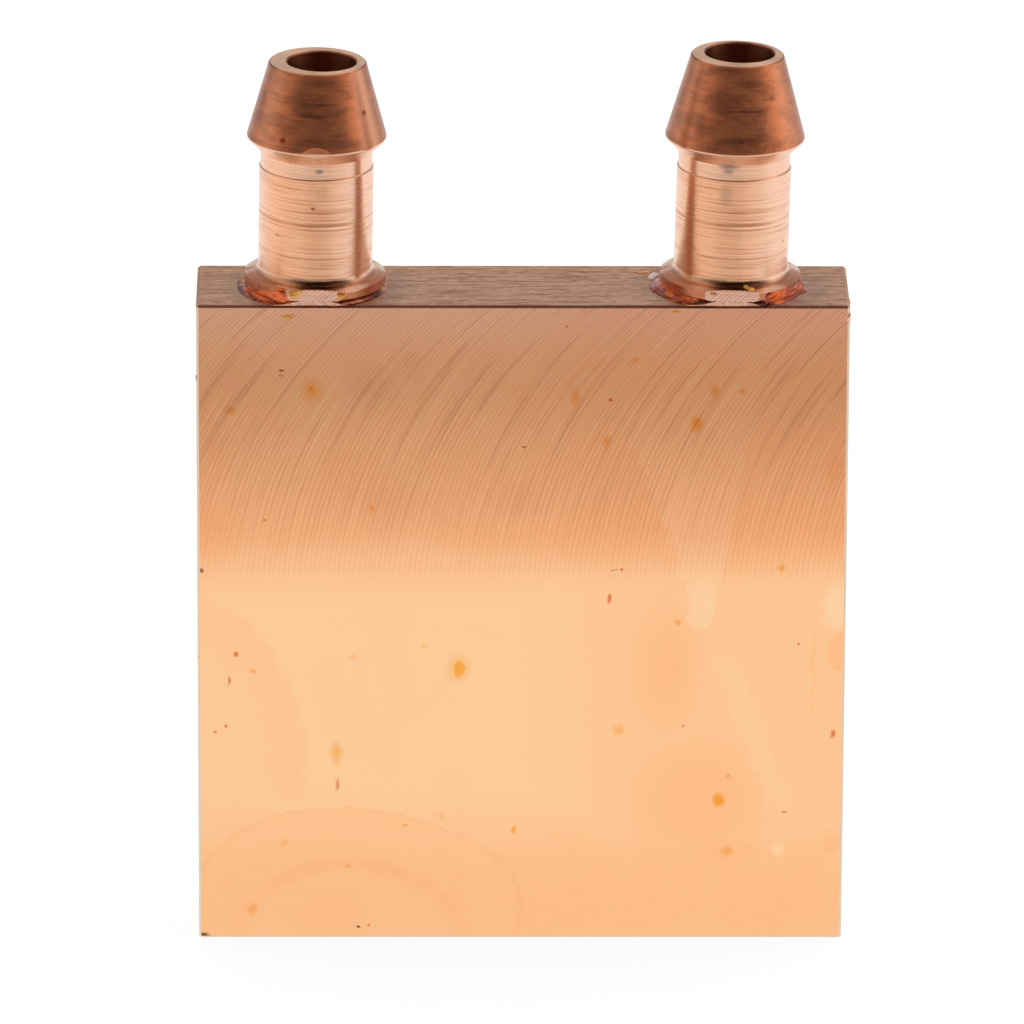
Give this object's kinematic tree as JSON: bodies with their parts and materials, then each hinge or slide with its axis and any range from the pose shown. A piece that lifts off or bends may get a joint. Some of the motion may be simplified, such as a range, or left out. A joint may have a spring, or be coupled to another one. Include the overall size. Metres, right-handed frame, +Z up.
{
  "type": "liquid cooling cold plate",
  "caption": "Small copper liquid cooling cold plate: a flat fly-cut block with a serpentine coolant channel inside and barbed hose fittings brazed into its top edge.",
  "frame": {"origin": "middle of the block's bottom face, on which the plate stands", "axes": "X across the block from the inlet side to the outlet side, -Y out of the cold face, +Z up towards the hose fittings"},
  "size_m": [0.04, 0.0086, 0.0565],
  "materials": {
    "milled_copper": "fly-cut copper, satin, lightly tarnished",
    "cover_copper": "milled copper, satin",
    "turned_copper": "turned copper with fine rings, satin",
    "braze": "copper-phosphorus braze, dull, stained by flux"
  },
  "bodies": {
    "root": {"block_body": "milled_copper", "rear_cover": "cover_copper", "cover_braze_seam": "braze", "inlet_hose_fitting": "turned_copper", "inlet_braze_joint": "braze", "outlet_hose_fitting": "turned_copper", "outlet_braze_joint": "braze"}
  },
  "joints": []
}
